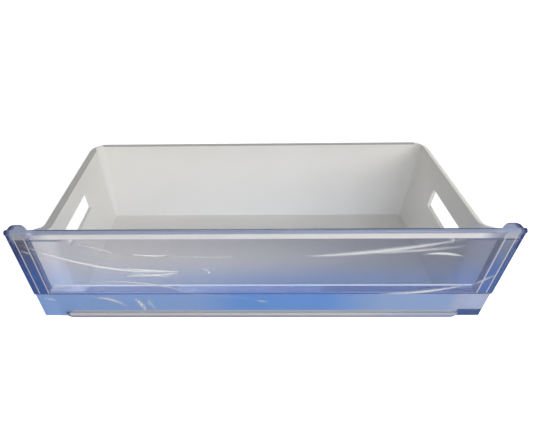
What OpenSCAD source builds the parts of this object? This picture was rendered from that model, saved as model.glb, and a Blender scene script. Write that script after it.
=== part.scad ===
// Fridge drawer: a white moulded tray with a clear, blue-tinted front panel clipped on,
// and the thin protective film still on the panel's face.
// Millimetres, +Z up, the front faces -Y. The origin is under the middle of the whole drawer.

/* [Tray] */
// Width of the tray at its rim, over the side walls
tray_w = 405; // [320:1:520]
// Depth of the tray at its rim, from the front flange to the rear wall's outer face
tray_depth = 166.5; // [140:0.5:300]
// Height of the tray, from what it stands on to the rim
tray_h = 118; // [100:1:170]
// Thickness of the tray's walls
wall_t = 2.4; // [1.8:0.1:3.2]
// Thickness of the tray's floor
floor_t = 2.4; // [1.8:0.1:3.2]
// Height of the skirt and ribs below the floor
skirt_h = 8.6; // [6:0.2:12]
// Draft of the side walls in degrees
side_draft = 1.6; // [0.6:0.1:3]
// Draft of the rear wall in degrees
rear_draft = 2.8; // [1:0.1:6]
// Inside radius of the two rear corners at the rim
corner_r = 11; // [6:0.5:24]
// Inside radius of those corners where the tray stands
corner_foot_r = 3; // [2:0.5:6]
// Height of the rim, from its top to the edge of the lip that it turns down
rim_h = 7; // [6:0.5:10]
// How far the rim stands out from the wall
rim_out = 4; // [3.4:0.1:5]
// Fall of the rim's top, from the inside to the lip
rim_fall = 2; // [1:0.2:2.6]
// Thickness of the rim's top and lip
rim_t = 1.6; // [1.4:0.1:2]

/* [Front of the tray] */
// How far each side flange reaches out beyond its side wall at the rim
flange_out = 15; // [11:0.5:20]
// Length of the curve that runs from each side wall out to its flange
flare_len = 10; // [7:0.5:16]
// How far the low front wall ends below the top of the panel's strip
front_wall_drop = 5; // [1:0.5:8]
// Radius of the lower corners of the front wall
flange_corner_r = 7; // [4:0.5:10]
// Height of the lip that holds the panel's lower edge
lip_h = 6.5; // [5:0.5:9]
// Thickness of that lip
lip_t = 1.5; // [1.2:0.1:1.7]

/* [Hand holes] */
// Length of the hand hole in each side wall
hole_len = 70; // [50:1:80]
// Height of the hand hole
hole_h = 23.5; // [16:0.5:28]
// Distance from the front flange to the hand hole
hole_setback = 30; // [24:1:40]
// Distance from the rim down to the hand hole
hole_drop = 24.5; // [18:0.5:32]
// Radius of the hand hole's corners
hole_r = 2.5; // [1.5:0.1:5]
// Width of the collar round the hand hole, on the outside of the wall
collar_w = 3.5; // [2.5:0.5:5]
// How far the collar stands out from the wall
collar_out = 1.6; // [1:0.1:2]

/* [Front panel] */
// How far the panel reaches beyond the flange on each side
panel_over = 17.5; // [15:0.5:24]
// Height of the panel's top above the tray's rim
panel_rise = 4.6; // [3.6:0.2:8]
// Thickness of the panel's walls
panel_t = 2.2; // [1.8:0.1:2.6]
// Distance from the panel's outer face to the tray's flange
panel_depth = 7; // [6.6:0.2:10]
// Height of the stepped strip along the panel's foot
strip_h = 37.5; // [30:0.5:40]
// How far the strip is set back from the face
strip_step = 1.8; // [1.8:0.1:2]
// Depth of the rib behind the face, at the strip's top, over the tray's front wall
rib_depth = 12; // [10.5:0.5:14]
// Diameter of the bead along the panel's top
bead_d = 5.2; // [4.4:0.2:6]
// How far the bead stands out in front of the face
bead_out = 0.8; // [0.4:0.1:1.2]
// Width of the ear at each upper corner
ear_w = 25; // [23:0.5:30]
// Depth of the ear behind the face
ear_d = 12.5; // [12:0.5:16]
// Height of the wall that hangs from the ear's edge
ear_skirt_h = 16; // [8:0.5:24]
// Outer corner radius of the ear
ear_r = 4; // [3:0.5:6]
// How far each clip nib reaches in behind the flange
nib_out = 1.4; // [1:0.1:2]
// Height of each clip nib
nib_h = 12; // [8:0.5:16]

/* [Protective film] */
// Thickness of the film
film_t = 0.25; // [0.2:0.05:0.4]
// Distance from the panel's side edges to the film
film_margin = 2.5; // [1:0.5:8]
// Height of the wrinkles above the film
wrinkle_h = 0.7; // [0.4:0.1:1.2]
// Width of the wrinkles
wrinkle_w = 2.2; // [1.4:0.1:3.2]

/* [Hidden] */
$fn = 48;

// Running gap between the panel and the tray
gap = 0.3;
// Overrun of every cut past the faces that it opens
cut = 1;
// Steps along each quarter curve of the tray's plan
quarter_steps = 8;
// Steps of the flare that the solid corner behind each end of the front wall spans
root_steps = 2;
// Edge rounding of the rim, and the wall's extra thickness under it
rim_round = 0.8;
rim_root = 0.2;
// Share of the rim's reach that is left where it runs out at the flange's end
rim_end_share = 0.15;
// Thickness of the ribs below the floor, and how many run front to back
rib_t = 2;
rib_count = 3;
// Places of the two clip nibs, as shares of the clip rib's height
nib_shares = [0.22, 0.74];
// Straight part of the ear's rear edge, as a share of its width
ear_flat_share = 0.36;
// Points along the ear's slope
ear_steps = 8;
// Drop of the film where it bridges the step above the strip
film_bridge = 4;
// Gap between the film's lower edge and the tray's lip
film_foot = 1;
// Height of the panel's foot above what the drawer stands on
foot_gap = 0.8;

// Wrinkles: start and end on the face as shares of its width and height, from its middle and
// its foot, and how far the middle of each arc rises, as a share of its length
wrinkle_shares = [
    [[-0.475, 0.88], [-0.165, 0.54], -0.11],
    [[-0.272, 0.50], [-0.165, 0.54], -0.05],
    [[-0.262, 0.74], [-0.190, 0.745], -0.03],
    [[0.052, 0.72], [0.395, 0.93], -0.055],
    [[0.305, 0.74], [0.400, 0.705], 0.06],
    [[0.235, 0.37], [0.430, 0.45], -0.05],
    [[-0.350, 0.43], [-0.150, 0.34], 0.09],
];

// The tray's flange lies this far behind the panel's outer face
flange_y = panel_depth;
flange_half = tray_w / 2 + flange_out;
floor_z = skirt_h + floor_t;
hole_z = tray_h - hole_drop - hole_h;

// The front wall lies close behind the panel's strip and stays below the panel's step
strip_back = strip_step + panel_t;
front_wall_y = strip_back + gap;
front_wall_top = strip_h - front_wall_drop;
channel_t = lip_t;
lip_half = flange_half - flange_corner_r;

panel_half = flange_half + panel_over;
panel_top = tray_h + panel_rise;
bead_r = bead_d / 2;
bead_y = bead_r - bead_out;
return_d = flange_y - gap;
ear_z = tray_h + gap;
clip_x = flange_half + gap;
clip_y = flange_y + wall_t + gap;
clip_z = strip_h + panel_t;
clip_h = ear_z - clip_z;

film_half = panel_half - film_margin;
film_top = panel_top - bead_d;
film_low = lip_h + film_foot;

// The whole drawer is set with its middle over the origin
front_reach = max(bead_out, film_t + wrinkle_h);
rear_reach = flange_y + tray_depth + rim_out;
centre_y = (rear_reach - front_reach) / 2;

function reversed(list) = [for (k = [len(list) - 1 : -1 : 0]) list[k]];
function mirrored(list) = [for (p = list) [-p[0], p[1]]];

// Half width and rear end of the tray at height z, d out from its inner surface
function side_at(z, d) = tray_w / 2 - wall_t + d - (tray_h - z) * tan(side_draft);
function rear_at(z, d) = flange_y + tray_depth - wall_t + d - (tray_h - z) * tan(rear_draft);

// Inside radius of the rear corners at height z
function corner_at(z) = corner_foot_r + (corner_r - corner_foot_r) * z / tray_h;

// Offset of the flange's rear face at its end: the rim all but runs out there
function end_offset(d) = min(d, wall_t) + max(d - wall_t, 0) * rim_end_share;

// Right half of the tray's plan, from the flange's end round to the rear wall
function half_plan(z, d) =
    let (x = side_at(z, d), y = rear_at(z, d), r = corner_at(z) + d, e = end_offset(d),
        bow = flare_len + wall_t - e)
    concat(
        [for (k = [0 : quarter_steps]) let (a = 90 * k / quarter_steps)
            [flange_half - (flange_half - x) * sin(a), flange_y + e + bow * (1 - cos(a))]],
        [for (k = [0 : quarter_steps]) let (a = 90 * k / quarter_steps)
            [x - r + r * cos(a), y - r + r * sin(a)]]
    );

function plan(z, d) = concat(half_plan(z, d), mirrored(reversed(half_plan(z, d))));

function trimmed(list, skip) = [for (k = [skip : len(list) - 1 - skip]) list[k]];

// Closed outline at height z, from low_d to high_d out from the inner surface. The points that
// are skipped at both ends leave out that much of the flares.
function wall_ring(z, low_d, high_d, skip = 0) =
    [for (p = concat(trimmed(plan(z, high_d), skip), reversed(trimmed(plan(z, low_d), skip))))
        [p[0], p[1], z]];

// Skin through a stack of rings, each an outer outline followed by the inner one reversed
module lofted(rings) {
    n = len(rings[0]);
    top = (len(rings) - 1) * n;
    points = [for (ring = rings, p = ring) p];
    sides = [for (i = [0 : len(rings) - 2], k = [0 : n - 1])
        let (a = i * n + k, b = i * n + (k + 1) % n)
        each [[a, a + n, b + n], [a, b + n, b]]];
    ends = [for (k = [0 : n / 2 - 2])
        let (a = k, b = k + 1, c = n - 2 - k, d = n - 1 - k)
        each [[a, b, c], [a, c, d], [top + c, top + b, top + a], [top + d, top + c, top + a]]];
    polyhedron(points, concat(sides, ends));
}

module rounded_rect(w, h, r) {
    translate([r, 0]) square([w - 2 * r, h]);
    translate([0, r]) square([w, h - 2 * r]);
    for (x = [r, w - r], y = [r, h - r]) translate([x, y]) circle(r);
}

// A profile drawn in depth and height, drawn out along X to both sides of the middle
module along_x(half) {
    rotate([90, 0, 90]) translate([0, 0, -half]) linear_extrude(2 * half) children();
}

// Side and rear walls in one skin, with the flares at the front, and the rim with its lip
module tray_walls() {
    lip_low = tray_h - rim_h;
    lip_top = tray_h - rim_fall;
    reach = wall_t + rim_out;
    root = wall_t + rim_root;
    difference() {
        lofted([
            wall_ring(0, 0, wall_t),
            wall_ring(lip_low, 0, wall_t),
            wall_ring(lip_low + rim_round / 2, 0, reach),
            wall_ring(lip_top - rim_round, 0, reach),
            wall_ring(lip_top, 0, reach - rim_round / 2),
            wall_ring(tray_h - rim_round / 2, 0, wall_t),
            wall_ring(tray_h, rim_round / 2, rim_round),
        ]);
        lofted([
            wall_ring(lip_low - cut, root, reach - rim_t, quarter_steps),
            wall_ring(lip_top - rim_t, root, reach - rim_t, quarter_steps),
        ]);
    }
}

// Low front wall with the front edge of the floor
module front_wall() {
    back = flange_y + wall_t;
    inside = front_wall_y + wall_t;
    along_x(flange_half) polygon([
        [front_wall_y, 0], [front_wall_y, front_wall_top], [inside, front_wall_top],
        [inside, floor_z], [back, floor_z], [back, skirt_h], [inside, skirt_h], [inside, 0]]);
}

// Solid corner where the front wall meets the foot of the right flange
module flange_root() {
    middle = front_wall_y + wall_t / 2;
    flange = [for (k = [0 : root_steps]) half_plan(0, wall_t / 2)[k]];
    linear_extrude(front_wall_top)
        polygon(concat([[flange_half, middle]], flange, [[flange[root_steps][0], middle]]));
}

// Channel with a lip, in which the panel's lower edge stands
module front_channel() {
    difference() {
        along_x(lip_half) polygon([
            [0, 0], [0, lip_h], [lip_t, lip_h], [lip_t, channel_t],
            [front_wall_y + cut, channel_t], [front_wall_y + cut, 0]]);
        for (side = [-1, 1]) lower_corner_cut(lip_half, lip_h, side);
    }
}

// What lies outside a rounded lower corner of radius r at half width x
module lower_corner_cut(x, r, side) {
    scale([side, 1, 1]) translate([x - r, 0, 0]) rotate([90, 0, 0])
        translate([0, 0, -flange_y - wall_t - cut]) linear_extrude(flange_y + wall_t + 2 * cut)
            difference() {
                translate([0, -cut]) square([r + cut, r + cut]);
                translate([0, r]) circle(r);
            }
}

// Ribs below the floor: some from front to back, and one across
module floor_ribs() {
    rib_h = skirt_h + floor_t / 2;
    front = front_wall_y + wall_t / 2;
    rear = rear_at(0, wall_t / 2);
    half = side_at(0, wall_t / 2);
    for (k = [1 : rib_count])
        translate([half * (2 * k / (rib_count + 1) - 1) - rib_t / 2, front, 0])
            cube([rib_t, rear - front, rib_h]);
    translate([-half, centre_y - rib_t / 2, 0]) cube([2 * half, rib_t, rib_h]);
}

module hand_holes() {
    half = tray_w / 2 + rim_out + cut;
    translate([0, flange_y + hole_setback, hole_z])
        along_x(half) rounded_rect(hole_len, hole_h, hole_r);
}

// Collar that stiffens the wall round a hand hole, drawn out from inside the wall
module hole_collar() {
    translate([side_at(hole_z, wall_t / 2), flange_y + hole_setback, hole_z])
        rotate([0, side_draft, 0]) rotate([90, 0, 90]) linear_extrude(wall_t / 2 + collar_out)
            translate([-collar_w, -collar_w])
                rounded_rect(hole_len + 2 * collar_w, hole_h + 2 * collar_w, hole_r + collar_w);
}

module tub() {
    color("white") translate([0, -centre_y, 0]) {
        difference() {
            union() {
                tray_walls();
                front_wall();
                translate([0, 0, skirt_h]) linear_extrude(floor_t)
                    polygon(plan(skirt_h, wall_t / 2));
                floor_ribs();
                for (side = [-1, 1]) scale([side, 1, 1]) {
                    hole_collar();
                    flange_root();
                }
            }
            hand_holes();
            for (side = [-1, 1]) lower_corner_cut(flange_half, flange_corner_r, side);
        }
        front_channel();
    }
}

// Face, strip, the rib at the step between them, and the bead along the top
module panel_section() {
    translate([0, strip_h]) square([panel_t, panel_top - bead_r - strip_h]);
    translate([strip_step, foot_gap]) square([panel_t, strip_h + panel_t - foot_gap]);
    translate([0, strip_h]) square([return_d, panel_t]);
    translate([bead_y, panel_top - bead_r]) circle(bead_r);
}

// Plan of an ear, u in from the panel's side edge and v back from its face, inset by i
function ear_plan(i) =
    let (flat = ear_w * ear_flat_share)
    concat(
        [[i, 0]],
        [for (k = [0 : quarter_steps]) let (a = 90 * k / quarter_steps)
            [ear_r - (ear_r - i) * cos(a), ear_d - ear_r + (ear_r - i) * sin(a)]],
        [for (k = [0 : ear_steps]) let (s = k / ear_steps)
            [flat + (ear_w - flat) * s,
             max(0, panel_t + (ear_d - panel_t) * (1 + cos(180 * s)) / 2 - i)]]
    );

// Ear that hooks over the tray's flange: a plate, and a wall that hangs from its edge
module ear() {
    translate([panel_half, 0, ear_z]) mirror([1, 0, 0]) {
        linear_extrude(panel_t) polygon(concat(ear_plan(0), [[ear_w, 0]]));
        intersection() {
            translate([0, 0, panel_t - ear_skirt_h]) linear_extrude(ear_skirt_h)
                difference() {
                    polygon(concat(ear_plan(0), [[ear_w, 0]]));
                    polygon(concat([[panel_t, -cut]], ear_plan(panel_t), [[ear_w, -cut]]));
                }
            translate([0, 0, -ear_skirt_h]) cube([panel_over - gap, ear_d + cut, 2 * ear_skirt_h]);
        }
    }
}

// Side wall of the panel, from its foot to the ear
module side_return() {
    translate([panel_half - panel_t, 0, 0]) rotate([90, 0, 90]) linear_extrude(panel_t)
        polygon([
            [0, strip_h], [0, ear_z + panel_t], [return_d, ear_z + panel_t],
            [return_d, foot_gap], [strip_step, foot_gap], [strip_step, strip_h]]);
}

// Foot of the panel outside the tray's lip
module foot_return() {
    inner = lip_half + gap;
    translate([inner, strip_step, foot_gap])
        cube([panel_half - inner, front_wall_y - gap - strip_step, panel_t]);
}

// Rib that reaches in over the tray's front wall, between the side walls
module sill_rib() {
    half = side_at(strip_h, 0) - gap;
    translate([-half, panel_t / 2, strip_h]) cube([2 * half, rib_depth - panel_t / 2, panel_t]);
}

// Rib beside the flange with nibs that snap in behind it
module side_clip() {
    rib_d = clip_y + 2 * nib_out - panel_t / 2;
    translate([clip_x, panel_t / 2, clip_z - panel_t / 2]) cube([panel_t, rib_d, clip_h + panel_t]);
    for (share = nib_shares)
        translate([0, 0, clip_z + clip_h * share - nib_h / 2]) linear_extrude(nib_h)
            polygon([[clip_x + panel_t / 2, clip_y], [clip_x - nib_out, clip_y],
                [clip_x, clip_y + 2 * nib_out], [clip_x + panel_t / 2, clip_y + 2 * nib_out]]);
}

module front_panel() {
    notch = lip_half + gap;
    color([0.55, 0.68, 0.92, 0.5]) translate([0, -centre_y, 0]) difference() {
        union() {
            along_x(panel_half) panel_section();
            sill_rib();
            for (side = [-1, 1]) scale([side, 1, 1]) {
                ear();
                side_return();
                foot_return();
                side_clip();
            }
        }
        translate([-notch, -cut, -cut]) cube([2 * notch, front_wall_y + cut, channel_t + gap + cut]);
    }
}

// Round ridge of a wrinkle, from its start to its end on the face
module wrinkle(from, to, rise) {
    chord = to - from;
    run = norm(chord);
    bulge = abs(rise) * run;
    radius = (run * run / 4 + bulge * bulge) / (2 * bulge);
    normal = [-chord[1], chord[0]] / run * sign(rise);
    middle = (from + to) / 2 - normal * (radius - bulge);
    start = rise > 0 ? to - middle : from - middle;
    sweep = 2 * asin(run / (2 * radius));
    translate([middle[0], -film_t / 2, middle[1]]) rotate([90, 0, 0])
        rotate([0, 0, atan2(start[1], start[0])]) rotate_extrude(angle = sweep)
            polygon([[radius - wrinkle_w / 2, 0], [radius + wrinkle_w / 2, 0],
                [radius + wrinkle_w / 2, film_t / 2], [radius, film_t / 2 + wrinkle_h],
                [radius - wrinkle_w / 2, film_t / 2]]);
}

module protective_film() {
    low_y = strip_step - film_t;
    color([0.92, 0.95, 1, 0.4]) translate([0, -centre_y, 0]) {
        along_x(film_half) polygon([
            [-film_t, film_top], [-film_t, strip_h], [low_y, strip_h - film_bridge],
            [low_y, film_low], [strip_step, film_low], [strip_step, strip_h - film_bridge],
            [0, strip_h], [0, film_top]]);
        for (w = wrinkle_shares)
            wrinkle([for (k = [0, 1]) w[0][k] * [2 * panel_half, panel_top][k]],
                [for (k = [0, 1]) w[1][k] * [2 * panel_half, panel_top][k]], w[2]);
    }
}

tub();
front_panel();
protective_film();
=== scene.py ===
"""Looks of the fridge drawer: a white moulded tray behind a clear, blue-tinted front panel,
with the thin protective film still on the panel's face. Metres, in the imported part's frame."""

import math
from typing import NamedTuple

import bmesh
import bpy
from mathutils import Matrix, Vector


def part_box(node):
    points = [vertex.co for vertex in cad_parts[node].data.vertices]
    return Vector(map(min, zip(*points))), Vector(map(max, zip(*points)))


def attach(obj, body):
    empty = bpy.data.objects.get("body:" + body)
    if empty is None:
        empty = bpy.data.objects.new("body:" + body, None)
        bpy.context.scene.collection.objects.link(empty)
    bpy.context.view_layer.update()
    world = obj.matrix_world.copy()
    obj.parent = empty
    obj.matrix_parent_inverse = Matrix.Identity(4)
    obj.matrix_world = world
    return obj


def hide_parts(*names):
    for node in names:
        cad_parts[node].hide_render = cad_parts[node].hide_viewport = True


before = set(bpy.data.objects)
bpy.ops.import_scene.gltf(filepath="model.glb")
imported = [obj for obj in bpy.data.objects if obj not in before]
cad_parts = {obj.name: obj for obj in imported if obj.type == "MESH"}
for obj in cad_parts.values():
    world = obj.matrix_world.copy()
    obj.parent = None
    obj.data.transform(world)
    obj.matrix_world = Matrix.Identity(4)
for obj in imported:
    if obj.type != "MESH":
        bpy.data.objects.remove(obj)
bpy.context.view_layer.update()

MM = 0.001

# The photograph's camera: image size and where its optical axis meets it, in pixels
PHOTO_WIDTH_PX = 533
OPTICAL_AXIS_X_PX = 239.5
FOCAL_LENGTH_PX = 399.6
SENSOR_WIDTH = 36
CAMERA_PLACE = Vector((-0.0137, -0.3616, 0.3543))
CAMERA_PITCH = math.radians(38.57)
CAMERA_YAW = math.radians(-1.36)
CAMERA_ROLL = math.radians(-1.13)

# The studio: the floor, how much of its white is its own glow close by and far off, how far
# from the drawer that changes, and the world's light on the object
FLOOR_HALF = 4
FLOOR_DROP = 0.2 * MM
FLOOR_GREY = (0.75, 0.75, 0.75)
FLOOR_GLOW_NEAR = 0.7
FLOOR_GLOW_FAR = 1.0
GLOW_RISE_START = 0.35
GLOW_RISE_END = 1.6
WORLD_LIGHT = 0.02
WHITE = (1, 1, 1)

# Lamps, low in front and at the right, so that upward faces are the darker ones:
# name, turn to the right of the front and height in degrees, and power
LAMPS = (
    ("left", -60, 25, 1.4),
    ("front_left", -20, 25, 3.4),
    ("front_right", 20, 25, 7.6),
    ("right", 60, 25, 6.5),
    ("behind", 180, 50, 9.2),
)
LAMP_SIZE = 0.7
LAMP_COLOUR = (1, 0.995, 0.985)
LAMP_DISTANCE = 1.5
LAMP_TARGET = Vector((0, 0, 0.06))

# Corner rounding of the two mouldings: edges sharper than one angle are rounded, and facets
# that differ by less than the other are one face
TUB_ROUNDING = 0.5 * MM
PANEL_ROUNDING = 0.35 * MM
ROUNDING_STEPS = 2
SHARP_ANGLE = math.radians(32)
FLAT_ANGLE = math.radians(1)
WELD = 0.01 * MM
FLAT_FACE_WEIGHT = 100

# Both mouldings' plastics bend light alike
PLASTIC_IOR = 1.5

# The panel's face, and the strip below it, which steps back: its pale hem, its dark right toe
# and the painted shade line at the step above it
PANEL_BEAD_OUT = 0.8 * MM
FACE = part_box("front_panel")[0].y + PANEL_BEAD_OUT
STRIP_TOP = 37.5 * MM
STRIP_STEP = 1.8 * MM
HEM_TOP = 9.5 * MM
HEM_END = 204.5 * MM
TOE_TOP = 11 * MM
TOE_START = 209.5 * MM
STEP_SHADE_FOOT = STRIP_TOP - 2.3 * MM
STEP_SHADE_TOP = STRIP_TOP + 1 * MM
STEP_SHADE_BACK = FACE + 2.1 * MM

# Out from the panel's middle: the band past the tray's flange, the clip rib there, the dark
# edge before the side wall, the painted highlight lines on rib and edge, and the ear above them
BAND_START = 217.5 * MM
CLIP_RIB = 217.8 * MM
CLIP_LINE_IN = CLIP_RIB + 0.9 * MM
CLIP_LINE_OUT = CLIP_RIB + 2.1 * MM
EDGE_START = 229.5 * MM
EDGE_LINE_IN = EDGE_START - 1.2 * MM
EDGE_LINE_OUT = EDGE_START - 0.2 * MM
LINES_TOP = 114 * MM
EAR_CORNER_START = 231.8 * MM
EAR_CORNER_FOOT = 100 * MM
EAR_RIDGE_FOOT = 118.9 * MM
EAR_RIDGE_FRONT = FACE + 11.3 * MM

# The bead along the panel's top, the painted shade on its rear side, and the painted shadow line
# below its ends
BEAD_FOOT = 112.6 * MM
BEAD_TOP = 120 * MM
BEAD_REAR_FOOT = 117.5 * MM
BEAD_REAR_FRONT = FACE + 1.5 * MM
BEAD_REAR_END = 211 * MM
BEAD_SHADOW_FOOT = 110.6 * MM
BEAD_SHADOW_TOP = 112 * MM

# The painted highlight line across the panel's face, and the rib behind the face over the tray's
# front wall, whose rear edge is painted lit and made to glow
GLEAM_FOOT = 49.8 * MM
GLEAM_TOP = 52.2 * MM
GLEAM_BACK = FACE + 0.6 * MM
GLEAM_END = 211 * MM
RIB_TOP = 40.7 * MM
RIB_FRONT = FACE + 2.75 * MM
RIB_LIGHT = FACE + 10 * MM
RIB_LEFT_END = -180 * MM

# The clip ribs' upper rear corners, which are cut back: the ribs' thickness, the slack in
# finding their sides, where the cut starts behind the face and how much further back on their
# outer sides, where the ears are, above what height it cuts, and its slope
CLIP_RIB_THICK = 2.2 * MM
CLIP_RIB_SLACK = 0.5 * MM
CLIP_CORNER_FRONT = FACE + 6 * MM
CLIP_CORNER_PAST_EAR = 5 * MM
CLIP_CORNER_LEVEL = 118 * MM
CLIP_CORNER_SLOPE = 1.9

# The arc in which the top ends of the tray's front flange fall away
FLANGE_ARC_START = 211 * MM
FLANGE_ARC_RUN = 6.5 * MM
FLANGE_ARC_LEVEL = 105 * MM
FLANGE_ARC_FALL = 0.5

# The tray's rims, which carry painted shade, and its lip in front below the panel, painted in
# shade: a groove along it with a painted shade line, a painted contact shadow along its foot and
# painted shade at its rounded left end
LEFT_RIM = -199.5 * MM
LEFT_RIM_FOOT = 113.8 * MM
REAR_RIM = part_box("tub")[1].y - 6.75 * MM
REAR_RIM_FOOT = 116 * MM
LIP_BACK = FACE + 1.6 * MM
LIP_GROOVE_FOOT = 2.7 * MM
LIP_GROOVE_TOP = 3.4 * MM
LIP_FOOT = 2 * MM
LIP_LEFT_END = -206.5 * MM

# The film: its own thickness, its air gap to the panel, the mesh that carries its folds, and
# the height over which it bridges the step down to the strip
FILM_THICK = 0.1 * MM
FILM_AIR = 0.05 * MM
FILM_COLUMNS = 210
FILM_ROWS = 150
FILM_BRIDGE = 4 * MM

# How fast a fold thins towards its ends, and its least half width there, in mm
FOLD_TAPER = 0.6
FOLD_THINNEST = 0.01


class Fold(NamedTuple):
    """A fold of the film: its ends in mm on the panel's face, from its middle and its foot,
    how far its middle bows up, how high it stands, and how bright its painted glint is, from 0 to
    1."""

    start: tuple
    end: tuple
    bow: float
    height: float
    half_width: float
    glint: float


FOLDS = (
    Fold((-226, 107), (-77, 71), -12, 0.6, 1.1, 1.0),
    Fold((-138, 76), (-77, 71), -1, 0.6, 1.0, 1.0),
    Fold((-138, 65), (-77, 70), -1.5, 0.5, 1.0, 0.9),
    Fold((-132, 70), (-84, 64), -1, 0.4, 0.8, 0.6),
    Fold((-126, 95), (-86, 93), -1.5, 0.4, 0.8, 0.9),
    Fold((-175, 108), (-132, 91), 2, 0.3, 0.7, 0.5),
    Fold((36, 91), (183, 112), -4, 0.6, 2.0, 0.6),
    Fold((66, 96), (190, 104), -3, 0.5, 1.8, 0.35),
    Fold((150, 93), (190, 90), 2.5, 0.5, 1.2, 0.8),
    Fold((118, 38), (208, 52), -4, 0.5, 1.7, 0.55),
    Fold((210, 50), (229, 66), 0, 0.3, 0.9, 0.5),
    Fold((-228, 100), (-216, 93), 0, 0.3, 0.8, 0.3),
    Fold((-172, 56), (-63, 36), 8, 0.4, 0.9, 0.5),
    Fold((-60, 76), (-50, 62), 4, 0.4, 0.8, 0.5),
    Fold((-84, 91), (-20, 90), 0, 0.2, 0.6, 0.3),
    Fold((-96, 45), (4, 26), -1, 0.2, 0.5, 0.2),
    Fold((-5, 25), (9, 24), 0, 0.3, 0.9, 0.5),
    Fold((-227, 29), (-215, 25), 1, 0.3, 0.9, 0.6),
    Fold((-176, 30), (-142, 15), 5, 0.4, 1.6, 0.6),
    Fold((-132, 30), (-123, 8), 1, 0.4, 1.4, 0.8),
    Fold((-119, 31), (-112, 10), -1, 0.3, 1.2, 0.4),
)


class Signal:
    """A value that varies over a surface. Arithmetic on it adds Math nodes to its paint."""

    def __init__(self, paint, socket):
        self.paint = paint
        self.socket = socket

    def math(self, operation, *values):
        return self.paint.node("ShaderNodeMath", {"operation": operation}, *values)

    def __add__(self, other):
        return self.math("ADD", self, other)

    __radd__ = __add__

    def __sub__(self, other):
        return self.math("SUBTRACT", self, other)

    def __rsub__(self, other):
        return self.math("SUBTRACT", other, self)

    def __mul__(self, other):
        return self.math("MULTIPLY", self, other)

    __rmul__ = __mul__

    def ramp(self, low, high):
        """0 below low, 1 above high, smooth between them."""
        settings = {"interpolation_type": "SMOOTHSTEP", "clamp": True}
        return self.paint.node("ShaderNodeMapRange", settings, self, low, high, 0, 1)

    def past(self, level, blur):
        """0 below the level and 1 above it, with half of the soft change on each side."""
        return self.ramp(level - blur, level + blur)

    def short_of(self, level, blur):
        return 1 - self.past(level, blur)

    def between(self, low, high, blur):
        """1 between low and high, 0 outside, with soft ends."""
        return self.past(low, blur) * self.short_of(high, blur)


class Paint:
    """A node material or world, built from expressions."""

    def __init__(self, owner):
        owner.use_nodes = True
        self.owner = owner
        self.tree = owner.node_tree
        self.tree.nodes.clear()

    def node(self, kind, settings, *inputs, out=0, **named):
        """A node: its settings first, then its sockets' values or links by place or name.
        A colour is given as its red, green and blue."""
        node = self.tree.nodes.new(kind)
        for key, setting in settings.items():
            setattr(node, key, setting)
        sockets = [s for s in node.inputs if s.enabled]
        pairs = list(zip(sockets, inputs))
        pairs += [(node.inputs[key.replace("_", " ")], value) for key, value in named.items()]
        for socket, value in pairs:
            if isinstance(value, Signal):
                self.tree.links.new(value.socket, socket)
            elif value is not None:
                socket.default_value = (*value, 1) if socket.type == "RGBA" else value
        return Signal(self, node.outputs[out]) if node.outputs else None

    def place(self):
        """Object coordinates, in metres."""
        return self.node("ShaderNodeTexCoord", {}, out="Object")

    def axes(self):
        """How far across, how deep and how high a point lies, in metres."""
        place = self.place()
        return [self.node("ShaderNodeSeparateXYZ", {}, place, out=axis) for axis in "XYZ"]

    def noise(self, size, detail=2, roughness=0.5):
        """Cloudy noise from 0 to 1 with features of about that size in metres."""
        return self.node("ShaderNodeTexNoise", {}, Vector=self.place(), Scale=1 / size,
                         Detail=detail, Roughness=roughness)

    def mixed(self, share, low, high):
        """The colour low where share is 0 and high where it is 1."""
        settings = {"data_type": "RGBA"}
        return self.node("ShaderNodeMix", settings, share, low, high, out=2)

    def finish(self, surface, volume=None):
        world = isinstance(self.owner, bpy.types.World)
        output = "ShaderNodeOutputWorld" if world else "ShaderNodeOutputMaterial"
        self.node(output, {}, Surface=surface, Volume=volume)
        return self.owner


def material(name):
    return Paint(bpy.data.materials.new(name))


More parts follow.
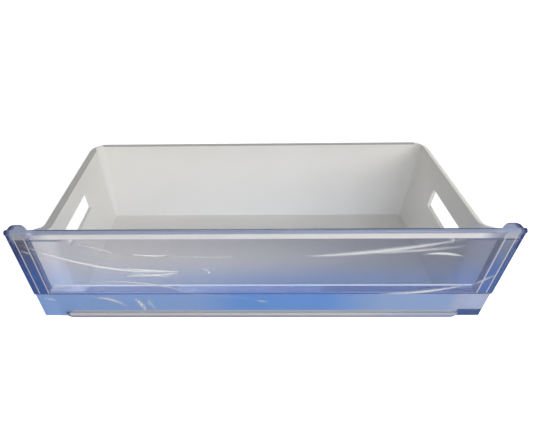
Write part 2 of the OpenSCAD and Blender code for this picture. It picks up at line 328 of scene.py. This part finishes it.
def white_plastic():
    """Off-white satin moulding with a faint flow pattern and an orange-peel skin. Its left and
    rear rims carry painted shade, and its front lip painted shade with a painted contact shadow."""
    paint = material("white_plastic")
    across, depth, height = paint.axes()
    cloud = paint.noise(60 * MM)
    skin = paint.noise(0.9 * MM, detail=3)

    # Painted shade on the left rim and on the outer face of the rear rim
    left_rim_shade = across.short_of(LEFT_RIM, 0.2 * MM) * height.past(LEFT_RIM_FOOT, 0.5 * MM)
    rear_rim_shade = depth.past(REAR_RIM, 0.15 * MM) * height.past(REAR_RIM_FOOT, 0.4 * MM)
    # The lip in painted shade, bluer to the right, with a painted shade line in its groove, a
    # painted contact shadow along its foot, deep blue at the right, and painted shade at its left
    # end
    lip = depth.short_of(LIP_BACK, 0.2 * MM)
    lip_groove_shade = lip * height.between(LIP_GROOVE_FOOT, LIP_GROOVE_TOP, 0.3 * MM)
    lip_contact_shadow = lip * height.short_of(LIP_FOOT, 0.3 * MM)
    lip_left_end_shade = lip * across.short_of(LIP_LEFT_END, 1 * MM)
    lip_shade_tint = paint.mixed(across.ramp(90 * MM, 190 * MM),
                           (0.60, 0.60, 0.61), (0.43, 0.46, 0.55))
    lip_contact_shadow_tint = paint.mixed(across.ramp(110 * MM, 150 * MM),
                                (0.11, 0.12, 0.24), (0.05, 0.12, 0.42))
    coats = (
        (left_rim_shade, (0.46, 0.455, 0.44)),
        (rear_rim_shade, (0.44, 0.435, 0.42)),
        (lip, lip_shade_tint),
        (lip_groove_shade, (0.32, 0.32, 0.36)),
        (lip_contact_shadow, lip_contact_shadow_tint),
        (lip_left_end_shade, (0.11, 0.13, 0.27)),
    )
    colour = paint.mixed(cloud, (0.82, 0.805, 0.76), (0.87, 0.855, 0.81))
    for where, coat in coats:
        colour = paint.mixed(where, colour, coat)

    bump = paint.node("ShaderNodeBump", {}, Strength=0.05, Distance=0.1 * MM, Height=skin)
    shader = paint.node("ShaderNodeBsdfPrincipled", {}, Base_Color=colour,
                        Roughness=0.34 + 0.12 * cloud, Normal=bump, IOR=PLASTIC_IOR)
    return paint.finish(shader)


class PanelZones:
    """Parts of the clear panel: each is a signal that is 1 on its part and 0 elsewhere."""

    def __init__(self, paint):
        across, depth, height = paint.axes()
        reach = across.math("ABSOLUTE", across)

        # Slow changes across the panel, down its face and down the bands beside the face, along
        # which light and shade are painted
        self.rightward = across.ramp(-230 * MM, 230 * MM)
        self.rightward_at_top = across.ramp(-122 * MM, 200 * MM)
        self.rightward_at_foot = across.ramp(-230 * MM, 70 * MM)
        self.middle = across.ramp(-80 * MM, -10 * MM) * (1 - across.ramp(60 * MM, 140 * MM))
        self.right_end = across.ramp(194 * MM, 209 * MM)
        self.face_foot = 1 - height.ramp(50 * MM, 93 * MM)
        self.band_foot = 1 - height.ramp(62 * MM, 112 * MM)

        self.strip = height.short_of(STRIP_TOP, 0.4 * MM)
        self.hem = reach.short_of(HEM_END, 2.5 * MM) * height.short_of(HEM_TOP, 0.5 * MM)
        self.toe = across.past(TOE_START, 1.5 * MM) * height.short_of(TOE_TOP, 0.5 * MM)
        # Painted shade line along the step at the strip's top
        self.seam = (height.between(STEP_SHADE_FOOT, STEP_SHADE_TOP, 0.2 * MM)
                     * depth.short_of(STEP_SHADE_BACK, 0.1 * MM))

        self.band = reach.past(BAND_START, 0.5 * MM)
        self.edge = reach.past(EDGE_START, 0.5 * MM)
        # Painted highlight lines along the clip rib and the edge
        self.lines = ((1 - self.strip) * height.short_of(LINES_TOP, 1 * MM)
                      * (reach.between(CLIP_LINE_IN, CLIP_LINE_OUT, 0.4 * MM)
                         + reach.between(EDGE_LINE_IN, EDGE_LINE_OUT, 0.3 * MM)))

        # Painted light and shade on the rounded ear: a greyer top, a dark corner at its outer end
        # and a dark ridge at its rear
        self.ear = height.ramp(104 * MM, 112 * MM)
        self.ear_corner = (height.past(EAR_CORNER_FOOT, 2 * MM)
                           * reach.past(EAR_CORNER_START, 0.5 * MM))
        self.ear_ridge = (height.past(EAR_RIDGE_FOOT, 0.4 * MM)
                          * depth.past(EAR_RIDGE_FRONT, 0.3 * MM))

        # The bead's front carries a painted pale highlight that fades towards the ears
        self.bead_front = (height.between(BEAD_FOOT, BEAD_TOP, 1 * MM)
                           * (1 - 0.6 * reach.ramp(195 * MM, 215 * MM)))
        self.bead_top = height.past(BEAD_TOP, 0.4 * MM)
        # Painted shade on the bead's rear side, and a painted shadow line below its ends
        self.bead_rear = (height.past(BEAD_REAR_FOOT, 0.5 * MM)
                          * depth.past(BEAD_REAR_FRONT, 0.2 * MM)
                          * reach.short_of(BEAD_REAR_END, 3 * MM))
        self.bead_shadow = (height.between(BEAD_SHADOW_FOOT, BEAD_SHADOW_TOP, 0.3 * MM)
                            * reach.ramp(178 * MM, 192 * MM))

        # Painted highlight line on the face, and painted light on the rib's rear edge and left end
        self.gleam = (height.between(GLEAM_FOOT, GLEAM_TOP, 0.4 * MM)
                      * depth.short_of(GLEAM_BACK, 0.2 * MM)
                      * reach.short_of(GLEAM_END, 2 * MM))
        self.rib = (height.between(STRIP_TOP, RIB_TOP, 0.4 * MM)
                    * depth.past(RIB_FRONT, 0.25 * MM))
        self.rib_light = (height.between(STRIP_TOP, RIB_TOP, 0.3 * MM)
                          * depth.past(RIB_LIGHT, 0.2 * MM))
        self.rib_left_end = (self.rib * (1 - self.rib_light)
                             * across.short_of(RIB_LEFT_END, 10 * MM))


def clear_tint(paint, zones):
    """What the panel's clear plastic does to light: bluer to the right and down its face, which is
    painted light and shade over its own blue, with a paler painted light on the rib.
    """
    top = paint.mixed(zones.rightward_at_top, (0.84, 0.80, 0.74), (0.35, 0.36, 0.40))
    foot = paint.mixed(zones.rightward_at_foot, (0.64, 0.70, 0.84), (0.22, 0.34, 0.60))
    face = paint.mixed(zones.face_foot, top, foot)
    rib = paint.mixed(zones.rightward_at_foot, (0.98, 0.98, 0.86), (0.70, 0.76, 0.74))
    tint = paint.mixed(zones.band, face, (0.22, 0.31, 0.60))
    tint = paint.mixed(zones.rib, tint, rib)
    return paint.mixed(zones.strip, tint, (0.34, 0.54, 0.90))


def painted_edge_light_and_shade(paint, zones):
    """Painted light and shade in the panel's bands, edges, strip, bead and rib, standing in for
    the light their clear plastic gathers and the shade along them: its tint, and how much of what
    lies behind them it hides."""
    band_top = paint.mixed(zones.rightward, (0.07, 0.07, 0.13), (0.18, 0.21, 0.30))
    band_foot = paint.mixed(zones.rightward, (0.01, 0.08, 0.35), (0.05, 0.14, 0.42))
    band = paint.mixed(zones.band_foot, band_top, band_foot)
    edge_top = paint.mixed(zones.rightward, (0.005, 0.02, 0.12), (0.07, 0.11, 0.24))
    edge_foot = paint.mixed(zones.rightward, (0.01, 0.06, 0.30), (0.04, 0.10, 0.32))
    edge = paint.mixed(zones.band_foot, edge_top, edge_foot)
    edge = paint.mixed(zones.ear, edge, (0.20, 0.22, 0.34))
    edge = paint.mixed(zones.ear_corner, edge, (0.015, 0.045, 0.22))
    # The strip's blue in painted light: paler to the left, deeper in the middle, with a painted
    # pale reflection at its right end
    strip = paint.mixed(zones.rightward, (0.24, 0.40, 0.70), (0.30, 0.42, 0.64))
    strip = paint.mixed(zones.middle, strip, (0.11, 0.31, 0.69))
    strip = paint.mixed(zones.right_end, strip, (0.44, 0.49, 0.64))

    # Painted highlights: the bead's front and top, the pale lines, the rib's lit rear edge and
    # left end, and the light line on the face; painted shade: the bands and edges, darker to the
    # left, the bead's rear and the dark line below it, the ear's ridge and the step's line
    # From the lowest coat up: where it lies, its tint, and how much it hides
    coats = (
        (zones.band, band, None),
        (zones.edge, edge, None),
        (zones.strip, strip, 0.72),
        (zones.hem, (0.55, 0.57, 0.62), None),
        (zones.toe, (0.02, 0.07, 0.26), 0.93),
        (zones.bead_front, (0.82, 0.81, 0.80), 0.85),
        (zones.bead_top, (0.48, 0.55, 0.74), 0.6),
        (zones.bead_rear, (0.03, 0.05, 0.17), 0.9),
        (zones.edge * (1 - zones.strip), edge, None),
        (zones.bead_shadow, (0.10, 0.12, 0.25), 0.7),
        (zones.ear_ridge, (0.03, 0.06, 0.22), 0.8),
        (zones.lines, (0.55, 0.55, 0.60), None),
        (zones.rib_light, (0.76, 0.77, 0.80), 0.9),
        (zones.rib_left_end, (0.95, 0.93, 0.88), 0.75),
        (zones.gleam, (0.80, 0.81, 0.84), 0.65),
        (zones.seam, (0.05, 0.06, 0.12), 0.85),
    )
    tint = (0.20, 0.25, 0.48)
    cover = 0.08 + 0.85 * zones.band + 0.05 * zones.edge
    for where, coat, hides in coats:
        tint = paint.mixed(where, tint, coat)
        if hides is not None:
            cover = cover + where * (hides - cover)
    return tint, cover


def clear_blue_plastic():
    """Clear polished moulding that blues towards its foot and carries blue in its edges, in
    painted light and shade, with painted highlights and a painted glow.
    """
    paint = material("clear_blue_plastic")
    zones = PanelZones(paint)
    haze = paint.noise(25 * MM)
    clear = paint.node("ShaderNodeBsdfPrincipled", {}, Base_Color=clear_tint(paint, zones),
                       Roughness=0.015 + 0.02 * haze, Transmission_Weight=1,
                       IOR=PLASTIC_IOR, Specular_IOR_Level=0.3)
    tint, cover = painted_edge_light_and_shade(paint, zones)
    # Painted glow: the rib's rear edge gives off light, though it is no lamp
    glow = paint.mixed(zones.rib_light, (0, 0, 0), (0.55, 0.57, 0.62))
    body = paint.node("ShaderNodeBsdfPrincipled", {}, Base_Color=tint,
                      Roughness=0.10 + 0.04 * haze, IOR=PLASTIC_IOR, Specular_IOR_Level=0.2,
                      Emission_Color=glow, Emission_Strength=0.6)
    solid = paint.node("ShaderNodeMixShader", {}, cover, clear, body)
    depth_tint = paint.node("ShaderNodeVolumeAbsorption", {}, Color=(0.06, 0.30, 0.85),
                            Density=45)
    return paint.finish(lit_through(paint, solid), depth_tint)


def clear_film():
    """Thin clear film with a faint milky veil and a painted white glint along its folds."""
    paint = material("clear_film")
    fold = paint.node("ShaderNodeAttribute", {"attribute_name": "fold"}, out="Fac")
    veil = paint.noise(70 * MM)
    shader = paint.node("ShaderNodeBsdfPrincipled", {}, Base_Color=(0.97, 0.97, 0.97),
                        Roughness=0.16 + 0.1 * veil, Specular_IOR_Level=0.15,
                        Alpha=0.005 + 0.02 * veil + 0.9 * fold)
    return paint.finish(shader)


def lit_through(paint, shader):
    """Lets the lamps' light pass a clear shader, so that what lies behind it is lit."""
    shadow = paint.node("ShaderNodeLightPath", {}, out="Is Shadow Ray")
    clear = paint.node("ShaderNodeBsdfTransparent", {}, Color=(0.92, 0.93, 0.96))
    return paint.node("ShaderNodeMixShader", {}, shadow, shader, clear)


def seen_directly(paint):
    """1 for rays from the camera, and for those that reach it by a mirror or through glass."""
    path = "ShaderNodeLightPath"
    camera = paint.node(path, {}, out="Is Camera Ray")
    glossy = paint.node(path, {}, out="Is Glossy Ray")
    transmission = paint.node(path, {}, out="Is Transmission Ray")
    return camera.math("MAXIMUM", camera, glossy.math("MAXIMUM", glossy, transmission))


def copy_of(node):
    """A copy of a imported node's mesh with its loose triangles joined into whole faces."""
    shape = bmesh.new()
    shape.from_mesh(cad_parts[node].data)
    bmesh.ops.remove_doubles(shape, verts=shape.verts, dist=WELD)
    bmesh.ops.dissolve_limit(shape, angle_limit=FLAT_ANGLE, verts=shape.verts,
                             edges=shape.edges, use_dissolve_boundaries=False)
    return shape


def round_edges(shape, radius):
    sharp = [e for e in shape.edges if e.calc_face_angle(0) > SHARP_ANGLE]
    bmesh.ops.bevel(shape, geom=sharp, offset=radius, segments=ROUNDING_STEPS, profile=0.5,
                    affect="EDGES", material=-1, clamp_overlap=True)


def placed(name, shape):
    """Turns a bmesh into an object of the scene."""
    mesh = bpy.data.meshes.new(name)
    shape.to_mesh(mesh)
    shape.free()
    thing = bpy.data.objects.new(name, mesh)
    bpy.context.scene.collection.objects.link(thing)
    return thing


def piece(name, shape, paint, replaced):
    """Turns a bmesh into a finished piece that rides on the part."""
    thing = placed(name, shape)
    thing.data.materials.append(paint)
    thing.data.shade_smooth()
    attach(thing, "root")
    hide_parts(replaced)
    return thing


def keep_faces_flat(thing):
    """Lets each broad face set the shading of its own edges, so that only roundings curve."""
    modifier = thing.modifiers.new("flat_faces", "WEIGHTED_NORMAL")
    modifier.mode = "FACE_AREA"
    modifier.weight = FLAT_FACE_WEIGHT
    modifier.keep_sharp = True


def soften_flange_ends(shape):
    """Lets the flange's top ends fall away in an arc, as its corners do."""
    for vert in shape.verts:
        past = abs(vert.co.x) - FLANGE_ARC_START
        if past > 0 and vert.co.z > FLANGE_ARC_LEVEL:
            share = min(1, past / FLANGE_ARC_RUN)
            vert.co.z -= FLANGE_ARC_FALL * share ** 2 * (vert.co.z - FLANGE_ARC_LEVEL)


def make_tub():
    shape = copy_of("tub")
    soften_flange_ends(shape)
    round_edges(shape, TUB_ROUNDING)
    keep_faces_flat(piece("moulded_tub", shape, white_plastic(), "tub"))


def trim_clip_ribs(shape):
    """Lets the clip ribs' upper rear corners end below the ears' edge."""
    for vert in shape.verts:
        inner = abs(abs(vert.co.x) - CLIP_RIB) < CLIP_RIB_SLACK
        outer = abs(abs(vert.co.x) - CLIP_RIB - CLIP_RIB_THICK) < CLIP_RIB_SLACK
        back = vert.co.y - CLIP_CORNER_FRONT
        at_rib = inner and back > 0 or outer and back > CLIP_CORNER_PAST_EAR
        if at_rib and vert.co.z > CLIP_CORNER_LEVEL:
            vert.co.z -= CLIP_CORNER_SLOPE * back


def make_panel():
    shape = copy_of("front_panel")
    trim_clip_ribs(shape)
    round_edges(shape, PANEL_ROUNDING)
    keep_faces_flat(piece("clear_front_panel", shape, clear_blue_plastic(),
                          "front_panel"))


def fold_at(x, z, fold):
    """How much of a fold lies at a point of the face, from 0 to 1."""
    chord = Vector(fold.end) - Vector(fold.start)
    run = chord.length
    along = chord / run
    offset = Vector((x, z)) - Vector(fold.start)
    share = offset.dot(along) / run
    if not 0 < share < 1:
        return 0
    side = offset.dot(Vector((-along.y, along.x))) - 4 * fold.bow * share * (1 - share)
    taper = math.sin(math.pi * share) ** FOLD_TAPER
    return taper * math.exp(-(side / (fold.half_width * taper + FOLD_THINNEST)) ** 2)


def make_film():
    low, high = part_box("protective_film")
    shape = bmesh.new()
    bmesh.ops.create_grid(shape, x_segments=FILM_COLUMNS, y_segments=FILM_ROWS, size=0.5)
    bmesh.ops.scale(shape, vec=(high.x - low.x, high.z - low.z, 1), verts=shape.verts)
    bmesh.ops.rotate(shape, matrix=Matrix.Rotation(math.pi / 2, 3, "X"), verts=shape.verts)
    bmesh.ops.translate(shape, vec=(0, FACE, (low.z + high.z) / 2), verts=shape.verts)
    # Painted white glint along the folds
    glint = shape.verts.layers.float.new("fold")
    for vert in shape.verts:
        x, z = vert.co.x / MM, vert.co.z / MM
        shares = [(fold_at(x, z, fold), fold) for fold in FOLDS]
        rise = max(share * fold.height for share, fold in shares) * MM
        drop = min(1, max(0, (STRIP_TOP - vert.co.z) / FILM_BRIDGE))
        vert.co.y += drop * STRIP_STEP - FILM_AIR - FILM_THICK - rise
        vert[glint] = max(share * fold.glint for share, fold in shares)
    film = piece("wrinkled_film", shape, clear_film(), "protective_film")
    wall = film.modifiers.new("film_wall", "SOLIDIFY")
    wall.thickness = FILM_THICK


def make_stage():
    """Pale floor that keeps the drawer's shadow and shows white elsewhere."""
    shape = bmesh.new()
    bmesh.ops.create_grid(shape, x_segments=1, y_segments=1, size=FLOOR_HALF)
    floor = placed("floor", shape)
    floor.location.z = -FLOOR_DROP
    paint = material("pale_floor")
    diffuse = paint.node("ShaderNodeBsdfDiffuse", {}, Color=FLOOR_GREY)
    spread = paint.node("ShaderNodeVectorMath", {"operation": "LENGTH"}, paint.place(),
                        out="Value")
    far = spread.ramp(GLOW_RISE_START, GLOW_RISE_END)
    strength = FLOOR_GLOW_NEAR + (FLOOR_GLOW_FAR - FLOOR_GLOW_NEAR) * far
    glow = paint.node("ShaderNodeEmission", {}, Color=WHITE,
                      Strength=strength * seen_directly(paint))
    both = paint.node("ShaderNodeAddShader", {}, diffuse, glow)
    floor.data.materials.append(paint.finish(both))


def make_world():
    """White where it is seen, and next to no light on the object."""
    world = bpy.data.worlds.new("studio")
    bpy.context.scene.world = world
    paint = Paint(world)
    strength = WORLD_LIGHT + (1 - WORLD_LIGHT) * seen_directly(paint)
    paint.finish(paint.node("ShaderNodeBackground", {}, Color=WHITE, Strength=strength))


def soft_lamp(name, azimuth, elevation, power):
    """Square lamp that faces the drawer from that direction."""
    light = bpy.data.lights.new(name, "AREA")
    light.size = LAMP_SIZE
    light.energy = power
    light.color = LAMP_COLOUR
    lamp = bpy.data.objects.new(name, light)
    bpy.context.scene.collection.objects.link(lamp)
    turn, rise = math.radians(azimuth), math.radians(elevation)
    toward = Vector((math.sin(turn) * math.cos(rise), -math.cos(turn) * math.cos(rise),
                     math.sin(rise)))
    lamp.location = LAMP_TARGET + LAMP_DISTANCE * toward
    lamp.rotation_euler = toward.to_track_quat("Z", "Y").to_euler()
    lamp.visible_transmission = False


def make_camera():
    """A camera at the photograph's place, whose shift frames the drawer as the photograph does."""
    data = bpy.data.cameras.new("camera")
    data.sensor_width = SENSOR_WIDTH
    data.lens = FOCAL_LENGTH_PX / PHOTO_WIDTH_PX * SENSOR_WIDTH
    data.shift_x = (PHOTO_WIDTH_PX / 2 - OPTICAL_AXIS_X_PX) / PHOTO_WIDTH_PX
    camera = bpy.data.objects.new("camera", data)
    bpy.context.scene.collection.objects.link(camera)
    turn = (Matrix.Rotation(-CAMERA_YAW, 4, "Z")
            @ Matrix.Rotation(math.pi / 2 - CAMERA_PITCH, 4, "X")
            @ Matrix.Rotation(CAMERA_ROLL, 4, "Z"))
    camera.matrix_world = Matrix.Translation(CAMERA_PLACE) @ turn
    bpy.context.scene.camera = camera


make_tub()
make_panel()
make_film()
make_stage()
make_world()
for lamp_row in LAMPS:
    soft_lamp(*lamp_row)
make_camera()
bpy.context.scene.view_settings.view_transform = "Standard"
